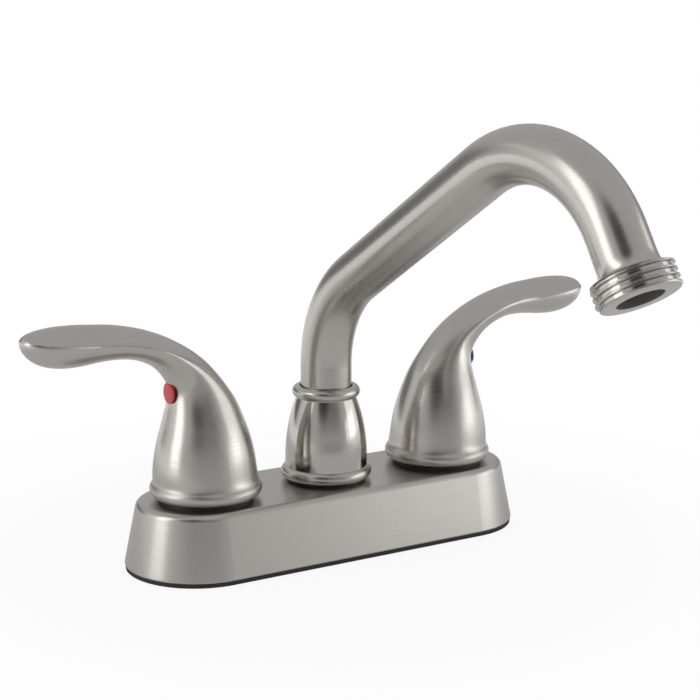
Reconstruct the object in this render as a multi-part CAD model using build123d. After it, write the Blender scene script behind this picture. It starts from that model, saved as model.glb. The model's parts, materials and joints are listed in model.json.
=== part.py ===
from build123d import *
import math
import os

# Utility sink faucet: a centerset base, two lever handles and a bent swivel spout with a hose thread.
# Frame: origin on the deck under the middle of the base, +X to the cold handle, -Y to the user, +Z up.
# All lengths are in millimetres and all angles in degrees.

os.makedirs("parts", exist_ok=True)

# Clearances shared by the whole faucet
running_clearance = 0.08  # radial gap of a turning fit
joint_gap = 0.01  # radial gap of a soldered joint
seat_gap = 0.3  # gap between a turning piece and the piece it turns over
overrun = 2.0  # how far a cut runs past what it cuts

# Base: rubber gasket on the deck and the brushed cover over it
handle_spacing = 101.6
base_end_overhang = 30.2
base_width = 54.6
gasket_thickness = 1.5
gasket_inset = 0.4
cover_height = 23.35
cover_draft = 11.4
cover_wall = 1.8
cover_top_round = 2.6
cover_foot_round = 0.5

# Waterway casting: two valve pods, a cross channel and the spout tower
pod_wall = 2.0
pod_shoulder = 2.0
chamber_radius = 9.0
chamber_floor_rise = 8.5
chamber_thread_rise = 6.2
channel_radius = 4.5
channel_wall = 2.5
channel_rise = 14.5
tower_sump = 1.0
tower_wall = 2.92
tower_shoulder = 1.1
tower_thread_rise = 9.15

# Inlet shanks and their deck hardware
shank_radius = 10.45
shank_bore_radius = 5.0
shank_length = 50.0
shank_socket_wall = 4.0
shank_waist = 0.55
shank_hole_clearance = 0.55
shank_pitch = 1.814
shank_valley = 0.42
shank_thread_depth = 0.5
shank_relief_width = 1.0
shank_free_thread = 17.0
deck_thickness = 20.0
deck_washer_radius = 18.0
deck_washer_thickness = 1.5
deck_nut_height = 9.5
deck_nut_flange_thickness = 2.5
deck_nut_wing_span = 46.0
deck_nut_wing_thickness = 5.0

# Quarter-turn cartridges
seal_thickness = 1.6
seal_wall = 3.1
cartridge_wall = 1.7
cartridge_side_gap = 0.1
cartridge_flange_width = 1.2
cartridge_flange_thickness = 1.5
disc_thickness = 2.4
disc_lap_gap = 0.05
disc_side_gap = 0.15
disc_port_radius = 1.9
disc_port_offset = 4.2
drive_slot_depth = 0.8
drive_width = 3.6
drive_height = 2.3
stem_radius = 5.2
stem_shoulder_clearance = 0.3
window_width = 5.0
oring_groove_rise = 5.0
oring_groove_width = 1.7
oring_groove_depth = 1.3
clip_thickness = 0.8
clip_width = 1.4
clip_groove_depth = 0.8
clip_opening = 3.0
bonnet_nut_cap = 2.6
bonnet_nut_wall = 1.5
cover_nut_thickness = 0.9
cover_nut_wall = 6.2

# Handles
bell_wall = 3.22
bell_cavity_clearance = 1.55
bell_bead_radius = 2.9
bell_bead_stand = 1.25
neck_height = 37.0
lever_height = 66.95
lever_reach = 68.5
lever_half_width = 9.1
cavity_straight = 10.0
cavity_cone = 9.0
spline_radius = 3.6
spline_depth = 0.35
spline_teeth = 16
adapter_wall = 1.3
adapter_clearance = 0.3
button_radius = 3.85
button_height_share = 1.058
button_stand = 0.3
button_sink = 0.9
button_dome = 0.8
button_stem_radius = 1.6
button_stem_length = 1.6
screw_radius = 2.0
screw_socket_radius = 1.1
screw_socket_depth = 2.5
screw_length = 6.0

# Spout and its swivel
tube_radius = 9.525
tube_wall = 1.2
spout_turn = 4.2  # how far the spout stands turned from the middle towards the cold side
riser_height = 43.84
lower_bend_radius = 41.8
slope_angle = 32.3
slope_length = 81.9
upper_bend_radius = 42.9
outlet_angle = 59.1
outlet_straight = 8.5
spigot_bore_wall = 3.2
spigot_foot_gap = 1.0
spigot_land = 1.8
spigot_groove_width = 2.3
spigot_groove_depth = 1.8
spigot_neck_length = 8.0
thrust_washer_thickness = 0.8
thrust_washer_margin = 0.4
retaining_ring_thickness = 1.2
retaining_ring_depth = 1.0
retaining_ring_width = 2.9
retaining_ring_opening = 6.0
tube_seat_gap = 0.9

# Bell-shaped spout collar
collar_washer_thickness = 0.6
collar_wall = 2.88
collar_bead_radius = 2.5
collar_bead_stand = 1.68
collar_straight = 7.5
collar_body_height = 30.95
collar_neck_radius = 11.3
collar_top_bead_radius = 2.2
collar_top_bead_stand = 1.42
collar_mouth_gap = 0.42
bushing_height = 7.0
bushing_wall = 1.3
bushing_lip = 5.4

# Hose-thread outlet
hose_thread_radius = 13.3
hose_thread_depth = 1.15
hose_pitch = 2.209
hose_crest_land = 0.25
hose_turns = 4
hose_flare_length = 5.25
hose_bore_radius = 7.4
hose_socket_length = 5.0
hose_lip_round = 0.35

# Heights and radii that follow from the sizes above
gasket_top = gasket_thickness
cover_top = gasket_top + cover_height
ceiling = cover_top - cover_wall
base_length = handle_spacing + 2 * base_end_overhang
handle_x = handle_spacing / 2

pod_neck_radius = chamber_radius + pod_wall
pod_radius = pod_neck_radius + pod_shoulder
chamber_floor = gasket_top + chamber_floor_rise
pod_top = cover_top + chamber_thread_rise
channel_z = gasket_top + channel_rise
shank_socket_radius = shank_bore_radius + shank_socket_wall
shank_socket_top = chamber_floor - cover_wall
shank_bottom = -shank_length

tube_bore_radius = tube_radius - tube_wall
spigot_radius = tube_radius
tower_bore_radius = spigot_radius + running_clearance
tower_neck_radius = tower_bore_radius + tower_wall
tower_radius = tower_neck_radius + tower_shoulder
tower_top = cover_top + tower_thread_rise
spigot_bottom = channel_z + channel_radius + spigot_foot_gap
spigot_bore_radius = spigot_radius - spigot_bore_wall
thrust_washer_top = tower_top + thrust_washer_thickness
retaining_ring_bottom = thrust_washer_top + seat_gap
retaining_ring_top = retaining_ring_bottom + retaining_ring_thickness
collar_shoulder = retaining_ring_top + seat_gap
tube_foot = collar_shoulder + tube_seat_gap

seal_top = chamber_floor + seal_thickness
fixed_disc_top = seal_top + disc_thickness
turning_disc_bottom = fixed_disc_top + disc_lap_gap
turning_disc_top = turning_disc_bottom + disc_thickness
stem_foot_top = turning_disc_top + drive_height
cartridge_shoulder = stem_foot_top + stem_shoulder_clearance
cartridge_radius = chamber_radius - cartridge_side_gap
disc_room_radius = cartridge_radius - cartridge_wall
disc_radius = disc_room_radius - disc_side_gap
stem_bore_radius = stem_radius + running_clearance
cartridge_top = pod_top + cartridge_flange_thickness
oring_groove_bottom = cartridge_shoulder + oring_groove_rise
clip_bottom = cartridge_top + seat_gap
clip_top = clip_bottom + clip_thickness
clip_radius = stem_radius + clip_width
bonnet_top = cartridge_top + bonnet_nut_cap
bonnet_corner_radius = (pod_neck_radius + bonnet_nut_wall) / math.cos(math.radians(30))
cover_nut_top = cover_top + cover_nut_thickness

bell_bottom = cover_nut_top + seat_gap
bell_cavity_radius = bonnet_corner_radius + bell_cavity_clearance
bell_radius = bell_cavity_radius + bell_wall
bell_bead_z = bell_bottom + bell_bead_radius
bell_bead_ring = bell_radius + bell_bead_stand - bell_bead_radius
adapter_radius = spline_radius + adapter_wall
adapter_bottom = bell_bottom + cavity_straight + cavity_cone
button_z = bell_bottom + neck_height * button_height_share
stem_top = button_z + screw_radius
adapter_top = stem_top + adapter_clearance

collar_bottom = cover_top + collar_washer_thickness
collar_bead_z = collar_bottom + collar_bead_radius
collar_body_radius = tower_neck_radius + collar_wall
collar_bead_ring = collar_body_radius + collar_bead_stand - collar_bead_radius
collar_arc_bottom = collar_bottom + collar_straight
collar_arc_top = collar_bottom + collar_body_height
collar_top_bead_z = collar_arc_top + collar_top_bead_radius
collar_top_bead_ring = collar_neck_radius + collar_top_bead_stand - collar_top_bead_radius
collar_mouth_radius = tube_radius + collar_mouth_gap
bushing_top = collar_arc_top - bushing_lip
bushing_bottom = bushing_top - bushing_height
bushing_bore_radius = tube_radius + running_clearance
bushing_radius = bushing_bore_radius + bushing_wall

# Bell sections: height in neck heights, then inner, outer and side radius in bell radii
bell_section_shares = [
    (0.086, 1.0, 1.0, 1.0),
    (0.215, 0.98, 1.01, 0.975),
    (0.485, 0.9, 0.945, 0.9),
    (0.757, 0.737, 0.81, 0.765),
    (1.0, 0.52, 0.707, 0.595),
]

# Lever sections: crown reach and height, belly reach and height, half width, edge height, edge sharpness.
# Reaches are in lever reaches, heights in lever heights, half widths in lever half widths.
lever_section_shares = [
    (-0.011, 0.728, 0.206, 0.624, 1.03, 0.58, 0.3),
    (0.175, 0.867, 0.286, 0.731, 1.0, 0.57, 0.75),
    (0.324, 0.935, 0.379, 0.78, 0.98, 0.54, 1.0),
    (0.481, 0.977, 0.481, 0.799, 0.9, 0.52, 1.0),
    (0.642, 0.996, 0.642, 0.792, 0.89, 0.54, 1.0),
]

# Beyond the last of them the lever closes like a bow, in shares of the way to its tip, and swells on the way
tip_height_share = 0.938
tip_step_shares = [0.26, 0.5, 0.7, 0.86, 0.96, 0.995]
tip_depth_growth_share = 0.76
tip_width_growth_share = 0.36
tip_depth_power = 2
tip_width_power = 3.2
section_half_points = 8


def column(radius, bottom, top, x=0.0):
    """Upright cylinder between two heights."""
    stand = (Align.CENTER, Align.CENTER, Align.MIN)
    return Pos(x, 0, bottom) * Cylinder(radius, top - bottom, align=stand)


def ring(outer, inner, bottom, top):
    """Upright ring between two heights."""
    return column(outer, bottom, top) - column(inner, bottom - overrun, top + overrun)


def open_ring(outer, inner, bottom, top, opening):
    """Spring clip: a ring with a gap on its +X side."""
    gap = Pos(outer, 0, (bottom + top) / 2) * Box(outer, opening, top - bottom + 2 * overrun)
    return ring(outer, inner, bottom, top) - gap


def oring(groove_radius, depth, middle):
    """Rubber ring that fills a groove of the given depth, to the land's radius."""
    section = depth / 2
    return Pos(0, 0, middle) * Torus(groove_radius + section, section)


def turned(points):
    """Solid of revolution about Z from (radius, height) points."""
    return revolve(make_face(Plane.XZ * Polyline(*points, close=True)), Axis.Z)


def slot_plate(length, width, bottom, height, draft=0.0):
    """Plate with fully round ends, drawn in by the draft angle towards its top."""
    return Pos(0, 0, bottom) * extrude(SlotOverall(length, width), height, taper=draft)


def thread_points(crest, depth, valley, pitch, start, step, count):
    """(radius, height) points of ring-shaped threads from start, up for step 1 and down for -1."""
    points = []
    for turn in range(count):
        edge = start + step * turn * pitch
        points.append((crest, edge + step * (pitch - valley)))
        points.append((crest - depth, edge + step * (pitch - valley / 2)))
        points.append((crest, edge + step * pitch))
    return points


# Base


def make_deck_gasket():
    """Rubber plate under the base, with a hole for each shank."""
    plate = slot_plate(base_length - 2 * gasket_inset, base_width - 2 * gasket_inset, 0, gasket_thickness)
    for x in (-handle_x, handle_x):
        plate -= column(shank_radius + shank_hole_clearance, -overrun, gasket_thickness + overrun, x)
    return plate


def make_base_cover():
    """Hollow brushed cover with drafted sides and three holes in its top."""
    inner_length = base_length - 2 * cover_wall
    inner_width = base_width - 2 * cover_wall
    cover = slot_plate(base_length, base_width, gasket_top, cover_height, cover_draft)
    cover = fillet(cover.edges().group_by(Axis.Z)[-1], cover_top_round)
    cover = fillet(cover.edges().group_by(Axis.Z)[0], cover_foot_round)
    inside = slot_plate(
        inner_length, inner_width, gasket_top, cover_height - cover_wall, cover_draft
    )
    mouth = slot_plate(inner_length, inner_width, gasket_top - overrun, overrun)
    cover -= inside
    cover -= mouth
    for x in (-handle_x, handle_x):
        cover -= column(pod_neck_radius + running_clearance, ceiling - overrun, cover_top + overrun, x)
    cover -= column(tower_neck_radius + running_clearance, ceiling - overrun, cover_top + overrun)
    return cover


def make_waterway():
    """Casting that joins both valves to the spout: pods, cross channel and tower, with their bores."""
    body = Pos(0, 0, channel_z) * Rot(0, 90, 0) * Cylinder(channel_radius + channel_wall, handle_spacing)
    for x in (-handle_x, handle_x):
        body += column(pod_radius, gasket_top, ceiling, x)
        body += column(pod_neck_radius, ceiling, pod_top, x)
    body += column(tower_radius, gasket_top, ceiling)
    body += column(tower_neck_radius, ceiling, tower_top)
    body -= Pos(0, 0, channel_z) * Rot(0, 90, 0) * Cylinder(channel_radius, handle_spacing)
    for x in (-handle_x, handle_x):
        body -= column(chamber_radius, chamber_floor, pod_top + overrun, x)
        body -= column(shank_bore_radius, gasket_top, chamber_floor + overrun, x)
        body -= column(shank_socket_radius, gasket_top - overrun, shank_socket_top, x)
    body -= column(tower_bore_radius, channel_z - channel_radius - tower_sump, tower_top + overrun)
    return body


# Deck hardware, each about its own axis at the origin


def make_inlet_shank():
    """Threaded supply shank, from its socket in the pod down to its free end."""
    relief_top = shank_bottom + shank_free_thread + shank_relief_width
    upper_turns = int((-relief_top) / shank_pitch)
    lower_turns = int(shank_free_thread / shank_pitch)
    points = [
        (shank_bore_radius, shank_socket_top),
        (shank_socket_radius, shank_socket_top),
        (shank_socket_radius, gasket_top),
        (shank_radius - shank_waist, gasket_top),
        (shank_radius - shank_waist, 0),
        (shank_radius, 0),
    ]
    thread = (shank_radius, shank_thread_depth, shank_valley, shank_pitch)
    points += thread_points(*thread, 0, -1, upper_turns)
    points.append((shank_radius, relief_top))
    points.append((shank_radius - shank_thread_depth, relief_top))
    points.append((shank_radius - shank_thread_depth, relief_top - shank_relief_width))
    points.append((shank_radius, relief_top - shank_relief_width))
    free_top = relief_top - shank_relief_width
    points += thread_points(*thread, free_top, -1, lower_turns)
    points.append((shank_radius, shank_bottom + shank_thread_depth))
    points.append((shank_radius - shank_thread_depth, shank_bottom))
    points.append((shank_bore_radius, shank_bottom))
    return turned(points)


def make_deck_washer():
    """Flat washer that bears on the underside of the deck."""
    top = -deck_thickness
    return ring(deck_washer_radius, shank_radius + shank_hole_clearance, top - deck_washer_thickness, top)


def make_deck_nut():
    """Winged nut that pulls the base down on the deck."""
    top = -deck_thickness - deck_washer_thickness
    bottom = top - deck_nut_height
    hub_radius = (shank_radius + deck_washer_radius) / 2
    nut = column(hub_radius, bottom, top)
    nut += column(deck_washer_radius, top - deck_nut_flange_thickness, top)
    wings = Box(deck_nut_wing_span, deck_nut_wing_thickness, deck_nut_height)
    nut += Pos(0, 0, bottom + deck_nut_height / 2) * wings
    return nut - column(shank_radius, bottom - overrun, top + overrun)


# Quarter-turn valve, each piece about its own axis at the origin


def make_seat_seal():
    """Rubber ring between the chamber floor and the fixed disc."""
    return ring(disc_radius, disc_radius - seal_wall, chamber_floor, seal_top)


def disc_ports(bottom, top, turn):
    """Two round ports through a disc, opposite each other."""
    ports = column(disc_port_radius, bottom - overrun, top + overrun, disc_port_offset)
    ports += column(disc_port_radius, bottom - overrun, top + overrun, -disc_port_offset)
    return Rot(0, 0, turn) * ports


def make_fixed_disc():
    """Lower ceramic disc, held in the cartridge."""
    return column(disc_radius, seal_top, fixed_disc_top) - disc_ports(seal_top, fixed_disc_top, 0)


def make_turning_disc():
    """Upper ceramic disc. Its ports stand a quarter turn from the fixed disc's while the valve is shut."""
    disc = column(disc_radius, turning_disc_bottom, turning_disc_top)
    disc -= disc_ports(turning_disc_bottom, turning_disc_top, 90)
    slot = Box(2 * disc_radius + overrun, drive_width, drive_slot_depth + overrun)
    return disc - Pos(0, 0, turning_disc_top - drive_slot_depth + (drive_slot_depth + overrun) / 2) * slot


def make_cartridge_body():
    """Brass sleeve for the discs and the stem, with a flange on the pod's mouth and two side windows."""
    body = column(cartridge_radius, chamber_floor, pod_top)
    body += column(cartridge_radius + cartridge_flange_width, pod_top, cartridge_top)
    body -= column(disc_room_radius, chamber_floor - overrun, cartridge_shoulder)
    body -= column(stem_bore_radius, cartridge_shoulder - overrun, cartridge_top + overrun)
    window = Box(4 * cartridge_radius, window_width, drive_height)
    return body - Pos(0, 0, turning_disc_top + drive_height / 2) * window


def make_stem():
    """Stem with its drive tongue, seal groove, clip groove and splined top."""
    foot_bottom = turning_disc_top - drive_slot_depth
    tongue = Box(2 * disc_radius, drive_width, stem_foot_top - foot_bottom)
    stem = Pos(0, 0, (foot_bottom + stem_foot_top) / 2) * tongue
    stem &= column(disc_radius, foot_bottom, stem_foot_top)
    stem += column(stem_radius, stem_foot_top, adapter_bottom)
    groove_top = oring_groove_bottom + oring_groove_width
    stem -= ring(2 * stem_radius, stem_radius - oring_groove_depth, oring_groove_bottom, groove_top)
    stem -= ring(2 * stem_radius, stem_radius - clip_groove_depth, clip_bottom, clip_top)
    return stem + Pos(0, 0, adapter_bottom) * extrude(spline_outline(), stem_top - adapter_bottom)


def spline_outline():
    """Outline of the stem's splined top."""
    points = []
    step = 180 / spline_teeth
    for tooth in range(2 * spline_teeth):
        radius = spline_radius - (spline_depth if tooth % 2 else 0)
        angle = math.radians(tooth * step)
        points.append((radius * math.cos(angle), radius * math.sin(angle)))
    return make_face(Polyline(*points, close=True))


def make_stem_oring():
    """Rubber ring in the stem's groove."""
    middle = oring_groove_bottom + oring_groove_width / 2
    return oring(stem_radius - oring_groove_depth, oring_groove_depth, middle)


def make_stem_clip():
    """Spring clip that keeps the stem from dropping out of the cartridge."""
    return open_ring(clip_radius, stem_radius - clip_groove_depth, clip_bottom, clip_top, clip_opening)


def make_bonnet_nut():
    """Hexagon nut that clamps the cartridge's flange on the pod."""
    nut = column(bonnet_corner_radius, cover_nut_top, bonnet_top)
    hexagon = extrude(RegularPolygon(bonnet_corner_radius, 6), bonnet_top - cover_nut_top)
    nut &= Pos(0, 0, cover_nut_top) * hexagon
    nut -= column(pod_neck_radius, cover_nut_top - overrun, cartridge_top)
    return nut - column(clip_radius + seat_gap, cartridge_top - overrun, bonnet_top + overrun)


def make_cover_nut():
    """Black ring nut under each handle, which holds the cover down on the pod's shoulder."""
    return ring(pod_neck_radius + cover_nut_wall, pod_neck_radius, cover_top, cover_nut_top)


# Handle, about its own axis at the origin, with the lever along +X


def section_rows():
    """Crown point, belly point, half width, edge height share and edge sharpness of each section."""
    rows = []
    for height, inner, outer, side in bell_section_shares:
        z = bell_bottom + height * neck_height
        rows.append(((-inner * bell_radius, z), (outer * bell_radius, z), side * bell_radius, 0.5, 0.0))
    for crown_x, crown_z, belly_x, belly_z, half, edge, sharp in lever_section_shares:
        crown = (crown_x * lever_reach, bell_bottom + crown_z * lever_height)
        belly = (belly_x * lever_reach, bell_bottom + belly_z * lever_height)
        rows.append((crown, belly, half * lever_half_width, edge, sharp))
    (last_x, crown_z), (last_x, belly_z), half, edge, sharp = rows[-1]
    edge_z = belly_z + edge * (crown_z - belly_z)
    tip_z = bell_bottom + tip_height_share * lever_height
    for step in tip_step_shares:
        size = math.sqrt(1 - step**tip_depth_power)
        x = last_x + step * (lever_reach - last_x)
        middle = edge_z + step * (tip_z - edge_z)
        rise = size * (crown_z - edge_z)
        depth = size * (1 + tip_depth_growth_share * step) * (edge_z - belly_z)
        width = math.sqrt(1 - step**tip_width_power) * (1 + tip_width_growth_share * step) * half
        rows.append(((x, middle + rise), (x, middle - depth), width, depth / (depth + rise), sharp))
    return rows


def section_face(crown, belly, half, edge, sharp):
    """Face across the handle: a round belly under a crown that meets it in an edge as sharp nears 1."""
    up_x, up_z = crown[0] - belly[0], crown[1] - belly[1]
    height = math.hypot(up_x, up_z)
    up_x, up_z = up_x / height, up_z / height

    def place(y, rise):
        return (belly[0] + up_x * rise, y, belly[1] + up_z * rise)

    crown_rise = (1 - edge) * height
    crown_points = []
    belly_points = []
    for step in range(section_half_points + 1):
        angle = math.radians(180 * step / section_half_points - 90)
        lift = math.cos(angle)
        y = half * math.sin(angle)
        crown_points.append(place(y, edge * height + crown_rise * ((1 - sharp) * lift + sharp * lift**2)))
        belly_points.append(place(-y, edge * height * (1 - lift)))
    slope = 2 * crown_rise / half
    lean = sharp / math.hypot(1, slope)
    climb = (1 - sharp) + sharp * slope / math.hypot(1, slope)
    start = Vector(up_x * climb, lean, up_z * climb)
    finish = Vector(-up_x * climb, lean, -up_z * climb)
    down = Vector(-up_x, 0, -up_z)
    top = Spline(*crown_points, tangents=(start, finish))
    bottom = Spline(*belly_points, tangents=(down, -down))
    return Face(Wire([top, bottom]))


def neck_reach(height):
    """Distance from the handle's axis to the outer side of its neck at a height."""
    rows = section_rows()
    for below, above in zip(rows, rows[1:]):
        (low_x, low_z), (high_x, high_z) = below[1], above[1]
        if low_z <= height <= high_z:
            return low_x + (high_x - low_x) * (height - low_z) / (high_z - low_z)
    return rows[0][1][0]


button_seat_x = neck_reach(button_z) - button_sink
button_tip_x = neck_reach(button_z) + button_stand


def along_x(solid, start):
    """Turns a solid that stands on the XY plane to point along +X at the button's height."""
    return Pos(start, 0, button_z) * Rot(0, 90, 0) * solid


def make_handle():
    """Cast handle: round bell under a lens-shaped lever, hollow over the valve, with a bored boss."""
    shell = loft([section_face(*row) for row in section_rows()])
    shell += column(bell_bead_ring, bell_bottom, bell_bead_z + overrun)
    shell += Pos(0, 0, bell_bead_z) * Torus(bell_bead_ring, bell_bead_radius)
    cone_bottom = bell_bottom + cavity_straight
    cavity = [
        (0, bell_bottom - overrun),
        (bell_cavity_radius, bell_bottom - overrun),
        (bell_cavity_radius, cone_bottom),
        (adapter_radius + adapter_wall, adapter_bottom),
        (adapter_radius, adapter_bottom),
        (adapter_radius, adapter_top),
        (0, adapter_top),
    ]
    shell -= turned(cavity)
    far = lever_reach
    shell -= along_x(column(screw_radius, 0, button_seat_x + overrun), 0)
    shell -= along_x(column(button_radius, 0, far), button_seat_x)
    return shell


def make_adapter():
    """Splined sleeve between the stem and the handle's boss, with a side hole for the set screw."""
    sleeve = column(adapter_radius, adapter_bottom, adapter_top)
    bore = extrude(spline_outline(), adapter_top - adapter_bottom + overrun)
    sleeve -= Pos(0, 0, adapter_bottom - overrun / 2) * bore
    return sleeve - along_x(column(screw_radius, 0, 2 * adapter_radius), 0)


def make_set_screw():
    """Headless screw that locks the handle on the stem, with a hexagon socket."""
    screw = column(screw_radius, 0, screw_length)
    socket = extrude(RegularPolygon(screw_socket_radius, 6), screw_socket_depth + overrun)
    screw -= Pos(0, 0, screw_length - screw_socket_depth) * socket
    return along_x(screw, spline_radius)


def make_index_button():
    """Domed colour button that covers the set screw's hole."""
    button = column(button_radius, 0, button_tip_x - button_seat_x)
    button = fillet(button.edges().group_by(Axis.Z)[-1], button_dome)
    button += column(button_stem_radius, -button_stem_length, overrun)
    return along_x(button, button_seat_x)


# Spout


def spout_path():
    """Centre line of the tube: up the riser, over the lower bend, up the slope and over the upper bend."""
    forward = Plane(origin=(0, 0, 0), x_dir=(0, -1, 0), z_dir=(-1, 0, 0))
    with BuildLine(forward) as line:
        riser = Line((0, tube_foot), (0, cover_top + riser_height))
        lower = JernArc(riser @ 1, riser % 1, lower_bend_radius, slope_angle - 90)
        slope = Line(lower @ 1, lower @ 1 + (lower % 1) * slope_length)
        upper = JernArc(slope @ 1, slope % 1, upper_bend_radius, -slope_angle - outlet_angle)
        Line(upper @ 1, upper @ 1 + (upper % 1) * outlet_straight)
    return Rot(0, 0, spout_turn) * line.wire()


def swept(radius, path):
    """Round bar of the given radius along a path."""
    return sweep(Plane(origin=path @ 0, z_dir=path % 0) * Circle(radius), path=path)


def make_spout_tube(path):
    """Bent tube."""
    return swept(tube_radius, path) - swept(tube_bore_radius, path)


def make_spout_spigot():
    """Turned foot of the spout: two seal grooves, a clip groove and the neck up into the tube."""
    groove = spigot_radius - spigot_groove_depth
    first = spigot_bottom + spigot_land
    second = first + spigot_groove_width + spigot_land
    clip = spigot_radius - retaining_ring_depth
    points = [
        (spigot_bore_radius, spigot_bottom),
        (spigot_radius, spigot_bottom),
        (spigot_radius, first),
        (groove, first),
        (groove, first + spigot_groove_width),
        (spigot_radius, first + spigot_groove_width),
        (spigot_radius, second),
        (groove, second),
        (groove, second + spigot_groove_width),
        (spigot_radius, second + spigot_groove_width),
        (spigot_radius, retaining_ring_bottom),
        (clip, retaining_ring_bottom),
        (clip, retaining_ring_top),
        (spigot_radius, retaining_ring_top),
        (spigot_radius, tube_foot),
        (tube_bore_radius, tube_foot),
        (tube_bore_radius, tube_foot + spigot_neck_length),
        (spigot_bore_radius, tube_foot + spigot_neck_length),
    ]
    return turned(points)


def make_spout_oring(number):
    """Rubber ring in the spigot's first or second groove."""
    step = spigot_groove_width + spigot_land
    middle = spigot_bottom + spigot_land + spigot_groove_width / 2 + number * step
    return oring(spigot_radius - spigot_groove_depth, spigot_groove_depth, middle)


def make_retaining_ring():
    """Spring ring on the spigot that the collar keeps down."""
    inner = spigot_radius - retaining_ring_depth
    outer = inner + retaining_ring_width
    return open_ring(outer, inner, retaining_ring_bottom, retaining_ring_top, retaining_ring_opening)


def make_thrust_washer():
    """Plastic washer on the tower that the retaining ring turns on."""
    return ring(tower_neck_radius - thrust_washer_margin, tower_bore_radius, tower_top, thrust_washer_top)


def make_collar_washer():
    """Thin black washer between the collar and the cover."""
    return ring(collar_bead_ring, tower_neck_radius, cover_top, collar_bottom)


def make_collar():
    """Bell-shaped spout nut: a bead at its foot, a domed side and a bead round its mouth."""
    with BuildSketch(Plane.XZ) as half:
        with BuildLine():
            foot = Line((0, collar_bead_z), (collar_body_radius, collar_bead_z))
            wall = Line(foot @ 1, (collar_body_radius, collar_arc_bottom))
            side = TangentArc(wall @ 1, (collar_neck_radius, collar_arc_top), tangent=(0, 1))
            rise = Line(side @ 1, (collar_neck_radius, collar_top_bead_z))
            lid = Line(rise @ 1, (0, collar_top_bead_z))
            Line(lid @ 1, foot @ 0)
        make_face()
    collar = revolve(half.sketch, Axis.Z)
    collar += column(collar_bead_ring, collar_bottom, collar_bead_z)
    collar += Pos(0, 0, collar_bead_z) * Torus(collar_bead_ring, collar_bead_radius)
    collar += Pos(0, 0, collar_top_bead_z) * Torus(collar_top_bead_ring, collar_top_bead_radius)
    collar -= column(tower_neck_radius, collar_bottom - overrun, collar_shoulder)
    collar -= column(bushing_radius, collar_shoulder - overrun, bushing_top)
    top = collar_top_bead_z + 2 * collar_top_bead_radius
    return collar - column(collar_mouth_radius, bushing_top - overrun, top)


def make_collar_bushing():
    """Plastic sleeve that guides the tube in the collar."""
    return ring(bushing_radius, bushing_bore_radius, bushing_bottom, bushing_top)


def make_hose_outlet(path):
    """Outlet with a male hose thread, flared from the tube, with a socket that goes up into it."""
    socket_radius = tube_bore_radius - joint_gap
    root = hose_thread_radius - hose_thread_depth
    valley = hose_pitch - hose_crest_land
    last = hose_flare_length + (hose_turns - 1) * hose_pitch + hose_crest_land
    with BuildSketch(Plane.XZ) as half:
        with BuildLine():
            start = Line((hose_bore_radius, -hose_socket_length), (socket_radius, -hose_socket_length))
            socket = Line(start @ 1, (socket_radius, 0))
            shoulder = Line(socket @ 1, (tube_radius, 0))
            flare = TangentArc(shoulder @ 1, (hose_thread_radius, hose_flare_length), tangent=(0, 1))
            edge = Line(flare @ 1, (hose_thread_radius, hose_flare_length + hose_crest_land))
            for turn in range(1, hose_turns):
                crest = hose_flare_length + turn * hose_pitch
                down = Line(edge @ 1, (root, crest - valley / 2))
                up = Line(down @ 1, (hose_thread_radius, crest))
                edge = Line(up @ 1, (hose_thread_radius, crest + hose_crest_land))
            lip = Line(edge @ 1, (hose_thread_radius - hose_lip_round, last + hose_lip_round))
            face = Line(lip @ 1, (hose_bore_radius, last + hose_lip_round))
            Line(face @ 1, start @ 0)
        make_face()
    outlet = revolve(half.sketch, Axis.Z)
    return Plane(origin=path @ 1, z_dir=path % 1).location * outlet


# Assembly: both sides have the same pieces, the hot side turned half round so that its lever points to -X

path = spout_path()
nodes = {
    "deck_gasket": make_deck_gasket(),
    "base_cover": make_base_cover(),
    "waterway_body": make_waterway(),
    "collar_washer": make_collar_washer(),
    "spout_collar": make_collar(),
    "collar_bushing": make_collar_bushing(),
    "spout_thrust_washer": make_thrust_washer(),
    "spout_spigot": make_spout_spigot(),
    "spout_lower_oring": make_spout_oring(0),
    "spout_upper_oring": make_spout_oring(1),
    "spout_retaining_ring": make_retaining_ring(),
    "spout_tube": make_spout_tube(path),
    "hose_outlet": make_hose_outlet(path),
}
side_pieces = {
    "inlet_shank": make_inlet_shank(),
    "deck_washer": make_deck_washer(),
    "deck_nut": make_deck_nut(),
    "cover_nut": make_cover_nut(),
    "seat_seal": make_seat_seal(),
    "cartridge_body": make_cartridge_body(),
    "fixed_disc": make_fixed_disc(),
    "turning_disc": make_turning_disc(),
    "bonnet_nut": make_bonnet_nut(),
    "stem": make_stem(),
    "stem_oring": make_stem_oring(),
    "stem_clip": make_stem_clip(),
    "adapter": make_adapter(),
    "handle": make_handle(),
    "set_screw": make_set_screw(),
    "index_button": make_index_button(),
}
sides = {"hot": Pos(-handle_x, 0, 0) * Rot(0, 0, 180), "cold": Pos(handle_x, 0, 0)}
for side, place in sides.items():
    for name, solid in side_pieces.items():
        nodes[f"{side}_{name}"] = place * solid

for name, solid in nodes.items():
    export_step(solid, f"parts/{name}.step")
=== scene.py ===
import json
import math

import bmesh
import bpy
from mathutils import Matrix, Vector


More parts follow.
